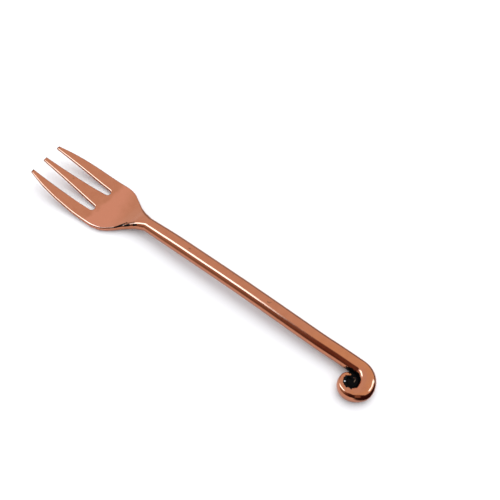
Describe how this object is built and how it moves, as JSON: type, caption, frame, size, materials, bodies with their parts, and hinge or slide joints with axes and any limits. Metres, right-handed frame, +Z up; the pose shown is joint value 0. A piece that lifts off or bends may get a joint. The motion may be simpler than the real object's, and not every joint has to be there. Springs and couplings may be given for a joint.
{
  "type": "cocktail fork",
  "caption": "Small three-tine fork with a dished head on a gently arched round rod handle, its tapered end rolled into a flat scroll with a blackened eye.",
  "frame": {"origin": "middle of the bounding box in plan, on the table plane under the fork", "axes": "+X along the handle from the tine tips to the scroll, +Z up out of the table with the fork on its back, +Y to the left when looking from the tines to the scroll; the scroll curls towards -Y"},
  "size_m": [0.1502, 0.0218, 0.0076],
  "materials": {
    "plated_head": "copper plate, satin polish with fine straight scratches",
    "plated_weld": "copper plate over a weld ground flush",
    "plated_rod": "copper plate, bright polish with fine lengthwise scratches",
    "black_lacquer": "glossy black antiquing lacquer, pooled"
  },
  "bodies": {
    "root": {"fork_head": "plated_head", "neck_weld": "plated_weld", "handle_rod": "plated_rod", "scroll_fill": "black_lacquer"}
  },
  "joints": []
}
